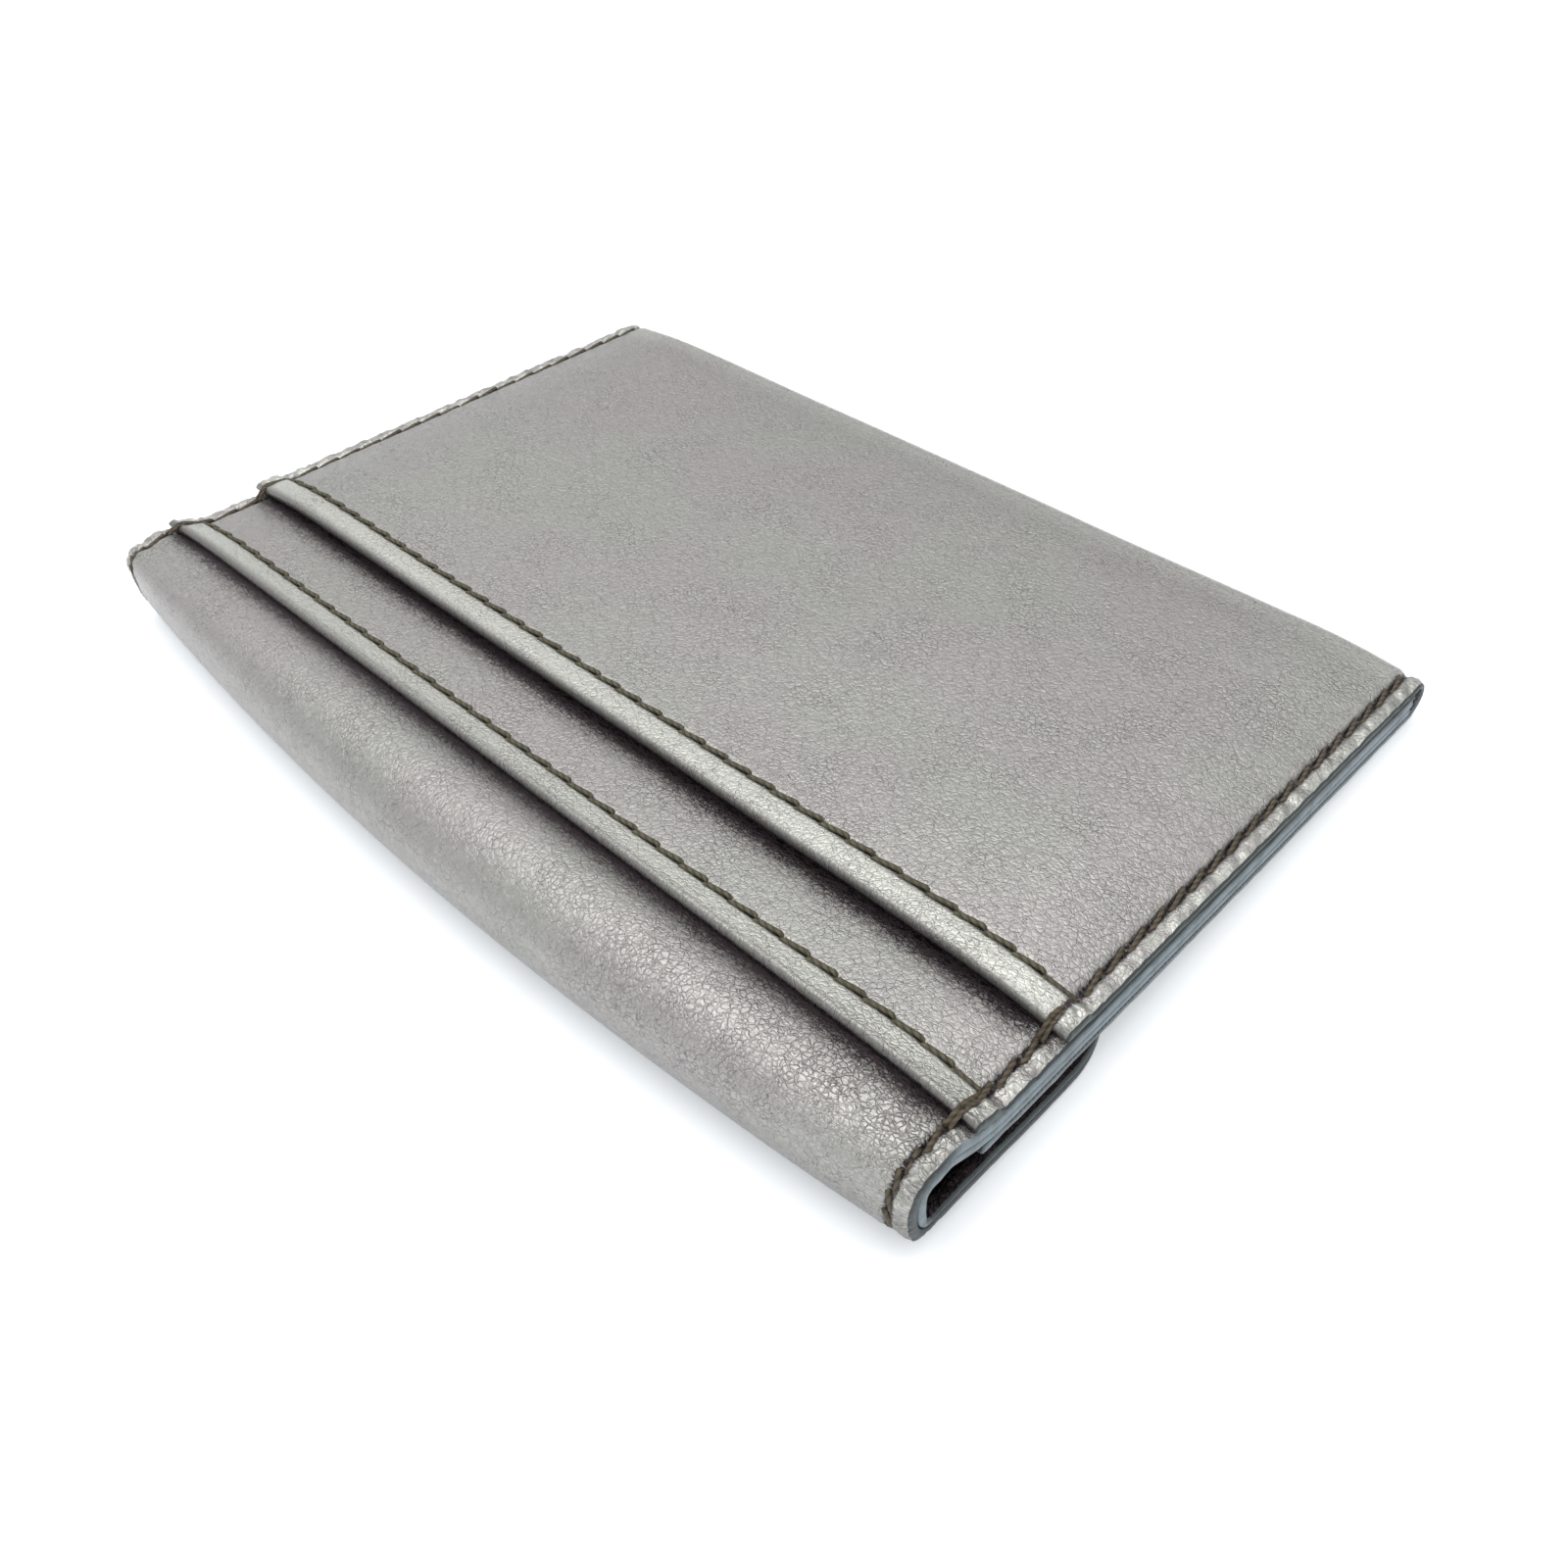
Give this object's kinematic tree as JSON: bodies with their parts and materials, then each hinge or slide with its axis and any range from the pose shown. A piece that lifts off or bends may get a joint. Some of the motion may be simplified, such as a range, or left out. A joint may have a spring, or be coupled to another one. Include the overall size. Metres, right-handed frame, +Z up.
{
  "type": "business card case",
  "caption": "Flat leather business card case with a short round-cornered flap folded under it, a main pocket at the front and card slots on the back.",
  "frame": {"origin": "on the table, under the middle of the closed case as it lies on its flap", "axes": "+X along the long side, +Y from the flap's fold to the bottom of the case, +Z up, out of the back"},
  "size_m": [0.105, 0.074, 0.0099],
  "materials": {
    "metallic_leather": "pewter foil on fine-grained leather, satin metallic",
    "lining_leather": "the same metallic leather, less worn",
    "lining_cloth": "plain twill, matt",
    "thread": "waxed polyester thread, olive brown"
  },
  "bodies": {
    "case": {"back_leather": "metallic_leather", "back_lining": "lining_leather", "outer_pocket_panel": "metallic_leather", "inner_pocket_panel": "metallic_leather", "front_lining": "lining_cloth", "outer_mouth_stitching": "thread", "inner_mouth_stitching": "thread", "front_mouth_stitching": "thread", "left_side_stitching": "thread", "right_side_stitching": "thread"},
    "fold_upper": {"fold_leather_upper": "metallic_leather", "fold_lining_upper": "lining_leather", "fold_stitching_upper": "thread"},
    "fold_middle": {"fold_leather_middle": "metallic_leather", "fold_lining_middle": "lining_leather", "fold_stitching_middle": "thread"},
    "fold_lower": {"fold_leather_lower": "metallic_leather", "fold_lining_lower": "lining_leather", "fold_stitching_lower": "thread"},
    "flap": {"flap_leather": "metallic_leather", "flap_lining": "lining_leather", "flap_stitching": "thread"}
  },
  "joints": [
    {"name": "flap_opening", "type": "hinge", "parent": "case", "child": "fold_upper", "pos_m": [0, -0.03368, 0.00965], "axis": [-1, 0, 0], "range_deg": [0, 45]},
    {"name": "fold_bend_2", "type": "hinge", "parent": "fold_upper", "child": "fold_middle", "pos_m": [0, -0.03654, 0.00705], "axis": [-1, 0, 0], "range_deg": [0, 45]},
    {"name": "fold_bend_3", "type": "hinge", "parent": "fold_middle", "child": "fold_lower", "pos_m": [0, -0.03666, 0.00317], "axis": [-1, 0, 0], "range_deg": [0, 45]},
    {"name": "fold_bend_4", "type": "hinge", "parent": "fold_lower", "child": "flap", "pos_m": [0, -0.03397, 0.00039], "axis": [-1, 0, 0], "range_deg": [0, 45]}
  ],
  "couplings": [
    {"joint": "fold_bend_2", "follows": "flap_opening", "ratio": 1},
    {"joint": "fold_bend_3", "follows": "flap_opening", "ratio": 1},
    {"joint": "fold_bend_4", "follows": "flap_opening", "ratio": 1}
  ]
}
